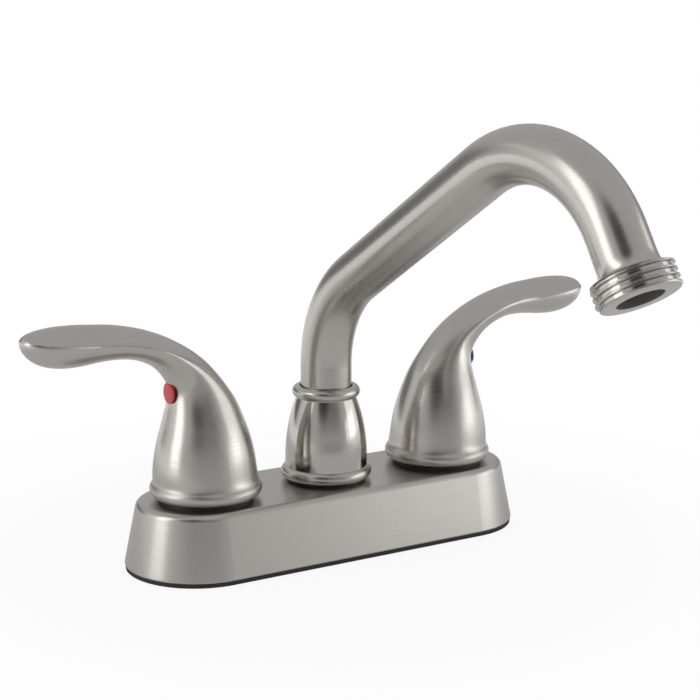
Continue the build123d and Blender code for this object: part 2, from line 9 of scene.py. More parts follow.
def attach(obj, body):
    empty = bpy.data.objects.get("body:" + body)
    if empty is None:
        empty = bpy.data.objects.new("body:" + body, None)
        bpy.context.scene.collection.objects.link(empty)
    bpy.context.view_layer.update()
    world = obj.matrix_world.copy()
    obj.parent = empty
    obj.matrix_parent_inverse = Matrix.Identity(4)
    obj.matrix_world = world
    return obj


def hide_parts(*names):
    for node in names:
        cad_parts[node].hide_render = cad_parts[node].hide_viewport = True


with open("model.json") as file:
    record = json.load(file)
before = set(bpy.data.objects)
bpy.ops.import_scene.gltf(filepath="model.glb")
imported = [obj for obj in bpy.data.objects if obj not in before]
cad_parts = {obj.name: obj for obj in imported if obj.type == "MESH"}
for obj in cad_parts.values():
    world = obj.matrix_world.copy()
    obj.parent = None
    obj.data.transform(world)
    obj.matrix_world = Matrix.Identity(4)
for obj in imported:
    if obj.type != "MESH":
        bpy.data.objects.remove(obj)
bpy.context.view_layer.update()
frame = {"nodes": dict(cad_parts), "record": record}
MM = 0.001
WHITE = (1, 1, 1, 1)
UPWARD, DEPTHWISE = (0, 0, 1), (0, 1, 0)


def direction_to(azimuth, elevation):
    """Unit vector towards a place round the part, from angles in radians. Azimuth 0 is the front."""
    return Vector((
        math.sin(azimuth) * math.cos(elevation),
        -math.cos(azimuth) * math.cos(elevation),
        math.sin(elevation),
    ))


# Camera: place and lens found from the photograph

CAMERA_AZIMUTH, CAMERA_ELEVATION, CAMERA_ROLL = math.radians(-31.9), math.radians(11.62), math.radians(0.16)
CAMERA_TARGET, CAMERA_DISTANCE = Vector((0.00957, -0.00146, 0.07311)), 0.62677
FOCAL_PIXELS, PHOTO_PIXELS, SENSOR_WIDTH = 1672.42, 700, 36


def make_camera():
    """The camera, turned to its target and rolled about its line of sight."""
    back = direction_to(CAMERA_AZIMUTH, CAMERA_ELEVATION)
    level = Vector((math.cos(CAMERA_AZIMUTH), math.sin(CAMERA_AZIMUTH), 0))
    upright = back.cross(level)
    right = level * math.cos(CAMERA_ROLL) + upright * math.sin(CAMERA_ROLL)
    up = upright * math.cos(CAMERA_ROLL) - level * math.sin(CAMERA_ROLL)
    camera = bpy.data.objects.new("camera", bpy.data.cameras.new("camera"))
    camera.data.sensor_width = SENSOR_WIDTH
    camera.data.lens = FOCAL_PIXELS / PHOTO_PIXELS * SENSOR_WIDTH
    place = Matrix((right, up, back)).transposed().to_4x4()
    place.translation = CAMERA_TARGET + back * CAMERA_DISTANCE
    camera.matrix_world = place
    bpy.context.scene.collection.objects.link(camera)
    bpy.context.scene.camera = camera


make_camera()


# Shader nodes

NOISE_LOW, NOISE_HIGH = 0.3, 0.7


def new_material(name, base, metallic, roughness):
    """A material, with its node tree and its shader."""
    material = bpy.data.materials.new(name)
    material.use_nodes = True
    tree = material.node_tree
    shader = tree.nodes["Principled BSDF"]
    shader.inputs["Base Color"].default_value = (*base, 1)
    shader.inputs["Metallic"].default_value = metallic
    shader.inputs["Roughness"].default_value = roughness
    return material, tree, shader


def add(tree, kind, links=(), **settings):
    """A node with its settings, and its inputs linked or set."""
    node = tree.nodes.new(kind)
    for key, value in settings.items():
        setattr(node, key, value)
    for socket, value in links:
        if isinstance(value, bpy.types.NodeSocket):
            tree.links.new(value, node.inputs[socket])
        else:
            node.inputs[socket].default_value = value
    return node


def place_in(tree):
    """Where a point lies, in metres from the part's origin."""
    return add(tree, "ShaderNodeTexCoord").outputs["Object"]


def number(tree, operation, *values, clamp=False):
    """A number made from numbers by one operation."""
    return add(tree, "ShaderNodeMath", enumerate(values), operation=operation, use_clamp=clamp).outputs[0]


def vector(tree, operation, *values):
    """A vector made from vectors by one operation."""
    return add(tree, "ShaderNodeVectorMath", enumerate(values), operation=operation).outputs["Vector"]


def measured(tree, operation, *values):
    """A number made from vectors by one operation."""
    return add(tree, "ShaderNodeVectorMath", enumerate(values), operation=operation).outputs["Value"]


def scaled(tree, value, scale):
    """A vector made longer by a scale."""
    node = add(tree, "ShaderNodeVectorMath", [(0, value), ("Scale", scale)], operation="SCALE")
    return node.outputs["Vector"]


def part_of(tree, value, axis):
    """One of the three numbers of a vector."""
    return add(tree, "ShaderNodeSeparateXYZ", [("Vector", value)]).outputs[axis]


def ranged(tree, value, start, end, low, high, **settings):
    """A value between start and end brought to the range low to high."""
    return add(tree, "ShaderNodeMapRange", [
        ("Value", value), ("From Min", start), ("From Max", end), ("To Min", low), ("To Max", high),
    ], **settings).outputs["Result"]


def spread(tree, value, low, high):
    """The middle part of a noise brought to the range low to high."""
    return ranged(tree, value, NOISE_LOW, NOISE_HIGH, low, high)


def share_of(tree, value, low, high):
    """0 below low and 1 above high, with a soft step between."""
    return ranged(tree, value, low, high, 0.0, 1.0, interpolation_type="SMOOTHSTEP")


def mixed(tree, factor, a, b, **settings):
    """a where the factor is 0, b where it is 1."""
    return add(tree, "ShaderNodeMix", [("Factor", factor), ("A", a), ("B", b)], **settings).outputs["Result"]


def tinted(tree, factor, dark, light):
    """A colour between dark and light."""
    ramp = add(tree, "ShaderNodeValToRGB", [("Fac", factor)])
    ramp.color_ramp.elements[0].color = (*dark, 1)
    ramp.color_ramp.elements[1].color = (*light, 1)
    return ramp.outputs["Color"]


def noise(tree, place, scale, detail, rough=0.5, stretch=(1, 1, 1)):
    """Noise that varies at the given scale, stretched by axis."""
    mapping = add(tree, "ShaderNodeMapping", [("Vector", place), ("Scale", stretch)])
    return add(tree, "ShaderNodeTexNoise", [
        ("Vector", mapping.outputs[0]), ("Scale", scale), ("Detail", detail), ("Roughness", rough),
    ]).outputs["Fac"]


# Brush marks: scales are per metre

FINE_MARKS, COARSE_MARKS, COARSE_BASE_MARKS = 3400, 55, 40
MARK_DETAIL, MARK_ROUGH = 3.0, 0.6
LEVER_MARKS = (60, 2600, 1700)

# The spout's turn to the cold side, and the tilts of its slope and of its way down
SPOUT_TURN, SPOUT_CLIMB, SPOUT_DROP = math.radians(4.2), math.radians(32.3), math.radians(-59.1)

# Heights, and for the way down places along Y, between which the marks change, in metres
CLIMB_STARTS, DROP_STARTS, LEVER_STARTS = (0.070, 0.084), (-0.118, -0.134), (0.058, 0.080)

# Upward parts of a surface's normal between which it counts as a top
TOP_FACES = (0.5, 0.9)


def marks_across(tree, place, axis, coarse=COARSE_MARKS):
    """Noise that changes quickly along an axis and slowly across it: fine lines square to the axis."""
    along = measured(tree, "DOT_PRODUCT", place, axis)
    quick = scaled(tree, scaled(tree, axis, along), FINE_MARKS)
    slow = scaled(tree, place, coarse)
    where = vector(tree, "ADD", quick, slow)
    return add(tree, "ShaderNodeTexNoise", [
        ("Vector", where), ("Scale", 1.0), ("Detail", MARK_DETAIL), ("Roughness", MARK_ROUGH),
    ]).outputs["Fac"]


def rings(tree, place):
    """Brush marks that run level round an upright form."""
    return marks_across(tree, place, UPWARD)


def along_spout(tree, place):
    """Brush marks round the tube: on the riser, on the slope and on the way down to the outlet."""
    slope, drop = [
        (math.sin(SPOUT_TURN) * math.cos(tilt), -math.cos(SPOUT_TURN) * math.cos(tilt), math.sin(tilt))
        for tilt in (SPOUT_CLIMB, SPOUT_DROP)
    ]
    riser_marks = marks_across(tree, place, UPWARD)
    slope_marks = marks_across(tree, place, slope)
    drop_marks = marks_across(tree, place, drop)
    up_share = share_of(tree, part_of(tree, place, "Z"), *CLIMB_STARTS)
    out_share = share_of(tree, part_of(tree, place, "Y"), *DROP_STARTS)
    return mixed(tree, out_share, mixed(tree, up_share, riser_marks, slope_marks), drop_marks)


def along_lever(tree, place):
    """Brush marks level round the bell, and along the lever higher up."""
    lengthwise = noise(tree, place, 1, MARK_DETAIL, MARK_ROUGH, LEVER_MARKS)
    high_share = share_of(tree, part_of(tree, place, "Z"), *LEVER_STARTS)
    return mixed(tree, high_share, marks_across(tree, place, UPWARD), lengthwise)


def along_base(tree, place):
    """Brush marks along the base: level on its sides, lengthwise on its top."""
    sides = marks_across(tree, place, UPWARD, COARSE_BASE_MARKS)
    top = marks_across(tree, place, DEPTHWISE, COARSE_BASE_MARKS)
    normal = add(tree, "ShaderNodeNewGeometry").outputs["Normal"]
    return mixed(tree, share_of(tree, part_of(tree, normal, "Z"), *TOP_FACES), sides, top)


# Materials

PATCH_SCALE, PATCH_DETAIL, PATCH_SHARE, MARK_DEPTH = 26, 3, 0.35, 0.35
GRAIN_DETAIL, GRAIN_ROUGH, GRAIN_DEPTH = 4, 0.6, 0.3
GRAINS_A_PATCH, GRAIN_PATCH_DETAIL, GRAIN_PATCH_SHARE = 40, 2, 0.5
SOFT_BELOW_BEAD, SOFT_ABOVE_BEAD = 0.0004, 0.0012


def varied(tree, shader, look, base, lift, roughness, swing):
    """Lets a noise lighten and darken the colour by the share lift. Gives a roughness that swings with it."""
    dark = tuple(c * (1 - lift) for c in base)
    light = tuple(min(1, c * (1 + lift)) for c in base)
    tree.links.new(tinted(tree, spread(tree, look, 0, 1), dark, light), shader.inputs["Base Color"])
    return spread(tree, look, roughness - swing, roughness + swing)


def relieved(tree, shader, height, strength, relief):
    """Raises the surface by a noise, up to a relief in metres."""
    bump = add(tree, "ShaderNodeBump", [("Height", height), ("Strength", strength), ("Distance", relief)])
    tree.links.new(bump.outputs[0], shader.inputs["Normal"])


def brushed(name, base, roughness, streaks, swing, lift, relief, beads):
    """Satin metal: fine brush marks from streaks(tree, place), soft uneven patches and duller beads."""
    material, tree, shader = new_material(name, base, 1.0, roughness)
    place = place_in(tree)
    marks = streaks(tree, place)
    look = mixed(tree, PATCH_SHARE, marks, noise(tree, place, PATCH_SCALE, PATCH_DETAIL))
    rough = varied(tree, shader, look, base, lift, roughness, -swing)
    for low, high, duller in beads:
        level = part_of(tree, place, "Z")
        over = share_of(tree, level, low - SOFT_BELOW_BEAD, low)
        under = share_of(tree, level, high + SOFT_ABOVE_BEAD, high)
        rough = number(tree, "MULTIPLY_ADD", number(tree, "MULTIPLY", over, under), duller, rough)
    tree.links.new(rough, shader.inputs["Roughness"])
    relieved(tree, shader, marks, MARK_DEPTH, relief)
    return material


def grained(name, base, metallic, roughness, scale, swing, lift, relief):
    """A material with fine grain in its colour, its roughness and its surface."""
    material, tree, shader = new_material(name, base, metallic, roughness)
    place = place_in(tree)
    grain = noise(tree, place, scale, GRAIN_DETAIL, GRAIN_ROUGH)
    patches = noise(tree, place, scale / GRAINS_A_PATCH, GRAIN_PATCH_DETAIL)
    look = mixed(tree, GRAIN_PATCH_SHARE, grain, patches)
    rough = varied(tree, shader, look, base, lift, roughness, swing)
    tree.links.new(rough, shader.inputs["Roughness"])
    relieved(tree, shader, grain, GRAIN_DEPTH, relief)
    return material


NICKEL = (0.60, 0.575, 0.545)
HANDLE_BEADS = [(0.0255, 0.0318, 0.12)]
COLLAR_BEADS = [(0.0250, 0.0300, 0.10), (0.0565, 0.0615, 0.10)]

# Colour, roughness, marks, swing of roughness, lift of colour, relief in metres,
# and beads with their heights in metres and how much duller they are
BRUSHED = {
    "base_nickel": (NICKEL, 0.29, along_base, 0.03, 0.025, 0.000002, []),
    "handle_nickel": (NICKEL, 0.25, along_lever, 0.05, 0.05, 0.000006, HANDLE_BEADS),
    "collar_nickel": (NICKEL, 0.14, rings, 0.03, 0.05, 0.000006, COLLAR_BEADS),
    "spout_nickel": (NICKEL, 0.25, along_spout, 0.05, 0.05, 0.000006, []),
}

# Colour, metallic, roughness, scale of the grain per metre, swing of roughness, lift of colour,
# and relief in metres
GRAINED = {
    "thread_nickel": (NICKEL, 1.0, 0.12, 900, 0.03, 0.05, 0.000004),
    "cast_brass": ((0.72, 0.53, 0.26), 1.0, 0.34, 1400, 0.10, 0.12, 0.00003),
    "spring_steel": ((0.55, 0.55, 0.56), 1.0, 0.28, 1600, 0.06, 0.08, 0.00001),
    "black_rubber": ((0.035, 0.034, 0.033), 0.0, 0.72, 1500, 0.10, 0.25, 0.00004),
    "black_plastic": ((0.022, 0.022, 0.022), 0.0, 0.48, 1800, 0.08, 0.2, 0.00003),
    "white_plastic": ((0.82, 0.81, 0.77), 0.0, 0.45, 1500, 0.07, 0.05, 0.00002),
    "white_ceramic": ((0.86, 0.86, 0.84), 0.0, 0.16, 1800, 0.04, 0.03, 0.00001),
    "red_plastic": ((0.84, 0.10, 0.12), 0.0, 0.42, 1500, 0.05, 0.06, 0.00001),
    "blue_plastic": ((0.03, 0.10, 0.42), 0.0, 0.36, 1500, 0.05, 0.06, 0.00001),
}
materials = {name: brushed(name, *look) for name, look in BRUSHED.items()}
materials |= {name: grained(name, *look) for name, look in GRAINED.items()}

# Look of the outlet: distances in metres from its axis, and along it from the middle of its thread
BORE_WALL, THREAD_BEGINS = (0.0075, 0.0077), (-0.0043, -0.0037)
# Inside the bore: a dark, dull, non-metal colour, painted shade that stands in for the shade inside the metal
# bore
BORE_PAINTED_SHADE, BORE_ROUGHNESS, FLARE_ROUGHNESS = (0.20, 0.185, 0.16, 1), 0.7, 0.25


def finish_outlet(material, middle, axis):
    """Makes the outlet satin like the tube on its flare, bright on its thread, and dull inside, where painted
    shade darkens the bore.
    """
    tree = material.node_tree
    shader = tree.nodes["Principled BSDF"]
    colour, rough = (shader.inputs[name].links[0].from_socket for name in ("Base Color", "Roughness"))
    arm = vector(tree, "SUBTRACT", place_in(tree), middle)
    off = measured(tree, "LENGTH", vector(tree, "CROSS_PRODUCT", arm, axis))
    outside = share_of(tree, off, *BORE_WALL)
    bright = share_of(tree, measured(tree, "DOT_PRODUCT", arm, axis), *THREAD_BEGINS)
    rough = mixed(tree, outside, BORE_ROUGHNESS, mixed(tree, bright, FLARE_ROUGHNESS, rough))
    # Painted shade: the bore takes the dark colour in place of the metal's own
    colour = mixed(tree, outside, BORE_PAINTED_SHADE, colour, data_type="RGBA")
    tree.links.new(rough, shader.inputs["Roughness"])
    tree.links.new(outside, shader.inputs["Metallic"])
    tree.links.new(colour, shader.inputs["Base Color"])


outlet = next(mount for mount in frame["record"]["mounts"] if mount["name"] == "spout_outlet")
finish_outlet(materials["thread_nickel"], outlet["pos_m"], outlet["axis"])

slot_of = {item["node"]: item["material_slot"] for item in frame["record"]["subparts"]}
own_finish = {
    "base_cover": "base_nickel",
    "spout_collar": "collar_nickel",
    "spout_tube": "spout_nickel",
    "hose_outlet": "thread_nickel",
    "hot_handle": "handle_nickel",
    "cold_handle": "handle_nickel",
}
for node, thing in frame["nodes"].items():
    for held in thing.material_slots:
        held.material = materials[own_finish.get(node, slot_of[node])]


# Surfaces

SHARPEST_SMOOTH_EDGE = math.radians(40)


def smooth_step(x):
    """0 up to 0 and 1 from 1 on, with a soft step between."""
    x = max(0.0, min(1.0, x))
    return x * x * (3 - 2 * x)


def eased(before, here, after):
    """A row of values drawn towards its two neighbours."""
    return tuple(a / 4 + b / 2 + c / 4 for a, b, c in zip(before, here, after))


def bridge(shape, low, high):
    """Faces between two rings of vertices."""
    count = len(low)
    for i in range(count):
        j = (i + 1) % count
        shape.faces.new((low[i], low[j], high[j], high[i]))


def skin(rows, first, last):
    """Closed surface through rings of points, from a first point to a last one."""
    shape = bmesh.new()
    made = [[shape.verts.new(point) for point in row] for row in rows]
    for low, high in zip(made, made[1:]):
        bridge(shape, low, high)
    start, end = shape.verts.new(first), shape.verts.new(last)
    count = len(made[0])
    for i in range(count):
        j = (i + 1) % count
        shape.faces.new((made[0][j], made[0][i], start))
        shape.faces.new((made[-1][i], made[-1][j], end))
    return shape


def finish(shape, name, body, node, look):
    """Turns a bmesh into a smooth object that rides on a body and takes a node's place."""
    bmesh.ops.recalc_face_normals(shape, faces=shape.faces)
    for edge in shape.edges:
        edge.smooth = edge.calc_face_angle(0) < SHARPEST_SMOOTH_EDGE
    for face in shape.faces:
        face.smooth = True
    mesh = bpy.data.meshes.new(name)
    shape.to_mesh(mesh)
    shape.free()
    mesh.materials.append(materials[look])
    made = bpy.data.objects.new(name, mesh)
    bpy.context.scene.collection.objects.link(made)
    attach(made, body)
    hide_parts(node)


# Outlet: its thread, which the solid shows as rings, is a helix. Lengths in mm

TUBE_RADIUS, SOCKET_RADIUS, BORE_RADIUS, CREST_RADIUS = 9.525, 8.315, 7.4, 13.3
SOCKET_DEPTH, FLARE_LENGTH, THREAD_LENGTH, FACE_DISTANCE = 5.0, 5.25, 6.877, 12.477
GENTLE_RADIUS, TIGHT_RADIUS, GENTLE_TURN, TIGHT_TURN, BEND_STEPS = 13.0, 1.3, 15.2, 64.8, 8
THREAD_PITCH, THREAD_DEPTH, CREST_SHARE, FLANK_SHARE = 2.209, 1.05, 0.14, 0.44
RUN_IN, RUN_OUT, THREAD_PAST_LIP = 0.5, 0.9, 0.6
FLARE_UNDER_CREST, FLARE_TOP_SLOPE = 0.4, 1.8
LIP_RADIUS, LIP_STEPS, BORE_CHAMFER = 0.5, 5, 0.25
STEPS_ALONG, STEPS_AROUND = 140, 240


def thread_radius(distance, share, start, end):
    """Radius of the thread at a distance along its axis: rounded crest, steep sides and flat valley."""
    turn = (distance / THREAD_PITCH - share) % 1.0
    from_crest = abs(turn - 0.5) * 2
    drop = smooth_step((from_crest - CREST_SHARE) / FLANK_SHARE)
    fade = min(smooth_step((distance - start) / RUN_IN), smooth_step((end - distance) / RUN_OUT))
    return CREST_RADIUS - THREAD_DEPTH * drop * fade


def outlet_outline(share):
    """Outline of the outlet at a share of a turn: socket, flare, hose thread, rounded lip, face and bore."""
    radius, height, angle = TUBE_RADIUS, 0.0, 0.0
    points = [
        (BORE_RADIUS, -SOCKET_DEPTH),
        (SOCKET_RADIUS, -SOCKET_DEPTH),
        (SOCKET_RADIUS, 0.0),
        (radius, height),
    ]
    steps = range(1, BEND_STEPS + 1)
    bends = [(GENTLE_RADIUS, math.radians(GENTLE_TURN) * step / BEND_STEPS) for step in steps]
    bends += [(TIGHT_RADIUS, math.radians(GENTLE_TURN + TIGHT_TURN * step / BEND_STEPS)) for step in steps]
    for bend, tilt in bends:
        radius += bend * (math.cos(angle) - math.cos(tilt))
        height += bend * (math.sin(tilt) - math.sin(angle))
        angle = tilt
        points.append((radius, height))
    flare_top = CREST_RADIUS - FLARE_UNDER_CREST
    first, last = height + (flare_top - radius) / math.tan(angle), FACE_DISTANCE - LIP_RADIUS
    points.append((flare_top, first))
    for step in range(1, STEPS_ALONG + 1):
        distance = first + (last - first) * step / STEPS_ALONG
        points.append((
            min(
                thread_radius(distance, share, first, last + THREAD_PAST_LIP),
                flare_top + (distance - first) * FLARE_TOP_SLOPE,
            ),
            distance,
        ))
    edge = points[-1][0]
    for step in range(1, LIP_STEPS + 1):
        angle = step / LIP_STEPS * math.pi / 2
        points.append((edge - LIP_RADIUS * (1 - math.cos(angle)), last + LIP_RADIUS * math.sin(angle)))
    return points + [(BORE_RADIUS + BORE_CHAMFER, FACE_DISTANCE), (BORE_RADIUS, FACE_DISTANCE - BORE_CHAMFER)]


def make_outlet(middle, axis):
    """The outlet, turned round its axis. The middle is that of its thread."""
    origin = middle - axis * (FLARE_LENGTH + THREAD_LENGTH / 2) * MM
    axis = axis.normalized()
    side = axis.orthogonal().normalized()
    other = axis.cross(side)
    shape = bmesh.new()
    rows = []
    for step in range(STEPS_AROUND):
        share = step / STEPS_AROUND
        angle = math.tau * share
        out = side * math.cos(angle) + other * math.sin(angle)
        rows.append([
            shape.verts.new(origin + (out * radius + axis * distance) * MM)
            for radius, distance in outlet_outline(share)
        ])
    for here, there in zip(rows, rows[1:] + rows[:1]):
        bridge(shape, here, there)
    finish(shape, "hose_thread", "spout", "hose_outlet", "thread_nickel")


# Handles: the solids' own sections, joined more smoothly and with the lever's edge rounded. Lengths in mm

BELL_BOTTOM, NECK_HEIGHT, BELL_RADIUS = 26.05, 37.0, 19.204
BEAD_RADIUS, BEAD_STAND, BEAD_STEPS, BEAD_MEETS_BELL, ROW_GAP = 2.9, 1.25, 16, 0.995, 0.35
LEVER_HEIGHT, LEVER_REACH, LEVER_HALF_WIDTH = 66.95, 68.5, 9.1
TIP_HEIGHT, TIP_DEPTH_GROWTH, TIP_WIDTH_GROWTH, TIP_WIDTH_POWER = 0.938, 0.76, 0.36, 3.2
NEAR_TIP_SHARE, TIP_STEPS = 0.02, 34
ROW_SPACING, CURVE_STEPS, SIDE_POINTS, EDGE_ROUNDS = 1.1, 60, 26, 3
SMALLEST_HEIGHT, SMALLEST_SPAN = 1e-6, 1e-9

# Rows round the notch between bead and bell that are eased, and how many times
NOTCH_ROWS, NOTCH_ROUNDS = range(-1, 3), 2

# Heights and radii of the hollow: the adapter's hole, its shoulder and the cavity of the bell
HOLE_TOP, HOLE_MIDDLE, HOLE_BOTTOM, HOLE_RADIUS = 67.51, 56.0, 45.05, 4.9
CAVITY_TOP, CAVITY_MIDDLE, CAVITY_RADIUS = 36.05, 31.0, 15.984
SHOULDER_HEIGHT, SHOULDER_RADIUS = 40.55, 10.4

# Inner wall of a handle, from the top of the adapter's hole to the bell's foot: radius and height
CAVITY = [
    (HOLE_RADIUS, HOLE_TOP),
    (HOLE_RADIUS, HOLE_MIDDLE),
    (HOLE_RADIUS, HOLE_BOTTOM),
    (SHOULDER_RADIUS, SHOULDER_HEIGHT),
    (CAVITY_RADIUS, CAVITY_TOP),
    (CAVITY_RADIUS, CAVITY_MIDDLE),
    (CAVITY_RADIUS, BELL_BOTTOM),
]

# Shares of the neck's height and of the bell's radius: height, inner side, outer side, half width
BELL_SECTIONS = [
    (0.086, 1.0, 1.0, 1.0),
    (0.215, 0.98, 1.01, 0.975),
    (0.485, 0.9, 0.945, 0.9),
    (0.757, 0.737, 0.81, 0.765),
    (1.0, 0.52, 0.707, 0.595),
]

# Shares of the lever's reach, height and half width: crown, belly, half width, height of the edge, sharpness
LEVER_SECTIONS = [
    (-0.011, 0.728, 0.206, 0.624, 1.03, 0.58, 0.3),
    (0.175, 0.867, 0.286, 0.731, 1.0, 0.57, 0.75),
    (0.324, 0.935, 0.379, 0.78, 0.98, 0.54, 1.0),
    (0.481, 0.977, 0.481, 0.799, 0.9, 0.52, 1.0),
    (0.642, 0.996, 0.642, 0.792, 0.89, 0.54, 1.0),
]


def round_row(radius, z):
    """Row of a round section."""
    return (-radius, z, radius, z, radius, 0.5, 0.0)


def tip_row(last, step):
    """Row of the lever's closing tip, at a share of the way from the last full section."""
    last_x, crown_z, _, belly_z, half, edge, sharp = last
    edge_z = belly_z + edge * (crown_z - belly_z)
    size = math.sqrt(1 - step ** 2)
    x = last_x + step * (LEVER_REACH - last_x)
    middle = edge_z + step * (BELL_BOTTOM + TIP_HEIGHT * LEVER_HEIGHT - edge_z)
    rise = size * (crown_z - edge_z)
    depth = size * (1 + TIP_DEPTH_GROWTH * step) * (edge_z - belly_z)
    width = math.sqrt(1 - step ** TIP_WIDTH_POWER) * (1 + TIP_WIDTH_GROWTH * step) * half
    return (x, middle + rise, x, middle - depth, width, depth / (depth + rise), sharp)


def given_rows():
    """Rows of the solid's sections: crown point, belly point, half width, edge and sharpness."""
    rows = []
    for h, inner, outer, side in BELL_SECTIONS:
        z = BELL_BOTTOM + h * NECK_HEIGHT
        rows.append((-inner * BELL_RADIUS, z, outer * BELL_RADIUS, z, side * BELL_RADIUS, 0.5, 0.0))
    for cx, cz, bx, bz, half, edge, sharp in LEVER_SECTIONS:
        crown = (cx * LEVER_REACH, BELL_BOTTOM + cz * LEVER_HEIGHT)
        belly = (bx * LEVER_REACH, BELL_BOTTOM + bz * LEVER_HEIGHT)
        rows.append((*crown, *belly, half * LEVER_HALF_WIDTH, edge, sharp))
    return rows


def row_middle(row):
    """Point halfway between a row's crown and its belly."""
    return ((row[0] + row[2]) / 2, (row[1] + row[3]) / 2)


def growth(here, there, span):
    """How fast each value of a row changes towards another row."""
    return [(b - a) / span for a, b in zip(here, there)]


def row_slopes(rows, spans):
    """Change of each value at each row: an average of both sides, and at the tip the tip's own."""
    slopes = [growth(rows[0], rows[1], spans[0])]
    for i in range(1, len(rows) - 1):
        before = growth(rows[i - 1], rows[i], spans[i - 1])
        after = growth(rows[i], rows[i + 1], spans[i])
        weight = spans[i] / (spans[i] + spans[i - 1])
        slopes.append([weight * p + (1 - weight) * q for p, q in zip(before, after)])
    near = tip_row(rows[-1], NEAR_TIP_SHARE)
    slopes.append(growth(rows[-1], near, math.dist(row_middle(rows[-1]), row_middle(near))))
    return slopes


def body_rows():
    """Rows of the handle from the bell to the tip, on smooth curves through the given ones."""
    rows = given_rows()
    spans = [math.dist(row_middle(a), row_middle(b)) for a, b in zip(rows, rows[1:])]
    slopes = row_slopes(rows, spans)
    made = []
    for i, span in enumerate(spans):
        steps = max(2, round(span / ROW_SPACING))
        for step in range(steps):
            t = step / steps
            h00, h10 = 2 * t ** 3 - 3 * t ** 2 + 1, t ** 3 - 2 * t ** 2 + t
            h01, h11 = -2 * t ** 3 + 3 * t ** 2, t ** 3 - t ** 2
            made.append(tuple(
                h00 * a + h10 * span * m + h01 * b + h11 * span * n
                for a, m, b, n in zip(rows[i], slopes[i], rows[i + 1], slopes[i + 1])
            ))
    return made + [tip_row(rows[-1], math.sin(step / TIP_STEPS * math.pi / 2)) for step in range(TIP_STEPS)]


def half_outlines(height, half, edge, sharp):
    """A section's outline from its crown to its edge, and on to its belly, as (side, height) points."""
    crown, belly = [], []
    for step in range(CURVE_STEPS + 1):
        angle = step / CURVE_STEPS * math.pi / 2
        out, lift = half * math.sin(angle), math.cos(angle)
        crown.append((out, edge * height + (1 - edge) * height * ((1 - sharp) * lift + sharp * lift ** 2)))
        belly.append((out, edge * height * (1 - lift)))
    return crown, belly[::-1]


def evenly(line):
    """Points spaced evenly along a line of points."""
    lengths = [0.0]
    for a, b in zip(line, line[1:]):
        lengths.append(lengths[-1] + math.dist(a, b))
    made, index = [], 0
    for step in range(SIDE_POINTS + 1):
        goal = lengths[-1] * step / SIDE_POINTS
        while index < len(line) - 2 and lengths[index + 1] < goal:
            index += 1
        span = max(SMALLEST_SPAN, lengths[index + 1] - lengths[index])
        t = (goal - lengths[index]) / span
        made.append(tuple(a + (b - a) * t for a, b in zip(line[index], line[index + 1])))
    return made


def section_ring(row):
    """Points round one section, with its edge rounded: crown middle, edge, belly middle and back."""
    cx, cz, bx, bz, half, edge, sharp = row
    height = max(SMALLEST_HEIGHT, math.dist((cx, cz), (bx, bz)))
    up = ((cx - bx) / height, (cz - bz) / height)
    crown, belly = half_outlines(height, half, edge, sharp)
    side = evenly(crown) + evenly(belly)[1:]
    for _ in range(EDGE_ROUNDS):
        inner = [eased(side[i - 1], side[i], side[i + 1]) for i in range(1, len(side) - 1)]
        side = [side[0], *inner, side[-1]]
    loop = side + [(-y, rise) for y, rise in side[-2:0:-1]]
    return [(bx + up[0] * rise, y, bz + up[1] * rise) for y, rise in loop]


def handle_place(x, turn):
    """Brings a handle drawn round the origin in mm to its side, turned about its own axis."""
    return Matrix.Translation((x, 0, 0)) @ Matrix.Rotation(turn, 4, "Z") @ Matrix.Scale(MM, 4)


def make_handle(side, place):
    """One handle: hollow bell with its foot bead, rising into the lens-shaped lever."""
    ring, bead_z = BELL_RADIUS + BEAD_STAND - BEAD_RADIUS, BELL_BOTTOM + BEAD_RADIUS
    rows = [round_row(radius, z) for radius, z in CAVITY]
    top_angle = math.degrees(math.acos((BEAD_MEETS_BELL * BELL_RADIUS - ring) / BEAD_RADIUS))
    for step in range(BEAD_STEPS + 1):
        angle = math.radians(-90 + (top_angle + 90) * step / BEAD_STEPS)
        rows.append(round_row(ring + BEAD_RADIUS * math.cos(angle), bead_z + BEAD_RADIUS * math.sin(angle)))
    last_z = rows[-1][1]
    rows += [row for row in body_rows() if row[3] > last_z + ROW_GAP]
    notch = len(CAVITY) + BEAD_STEPS
    for _ in range(NOTCH_ROUNDS):
        for i in (notch + offset for offset in NOTCH_ROWS):
            rows[i] = eased(rows[i - 1], rows[i], rows[i + 1])
    shape = skin(
        [[place @ Vector(point) for point in section_ring(row)] for row in rows],
        place @ Vector((0, 0, HOLE_TOP)),
        place @ Vector((LEVER_REACH, 0, BELL_BOTTOM + TIP_HEIGHT * LEVER_HEIGHT)),
    )
    finish(shape, f"{side}_lever_handle", f"{side}_lever", f"{side}_handle", "handle_nickel")


# Colour buttons. Lengths in mm

BUTTON_RADIUS, BUTTON_HEIGHT, BUTTON_RIM = 3.85, 1.2, 0.62
BUTTON_STEM_RADIUS, BUTTON_STEM_LENGTH = 1.6, 1.6
DOME_STEPS, BUTTON_POINTS = 14, 64


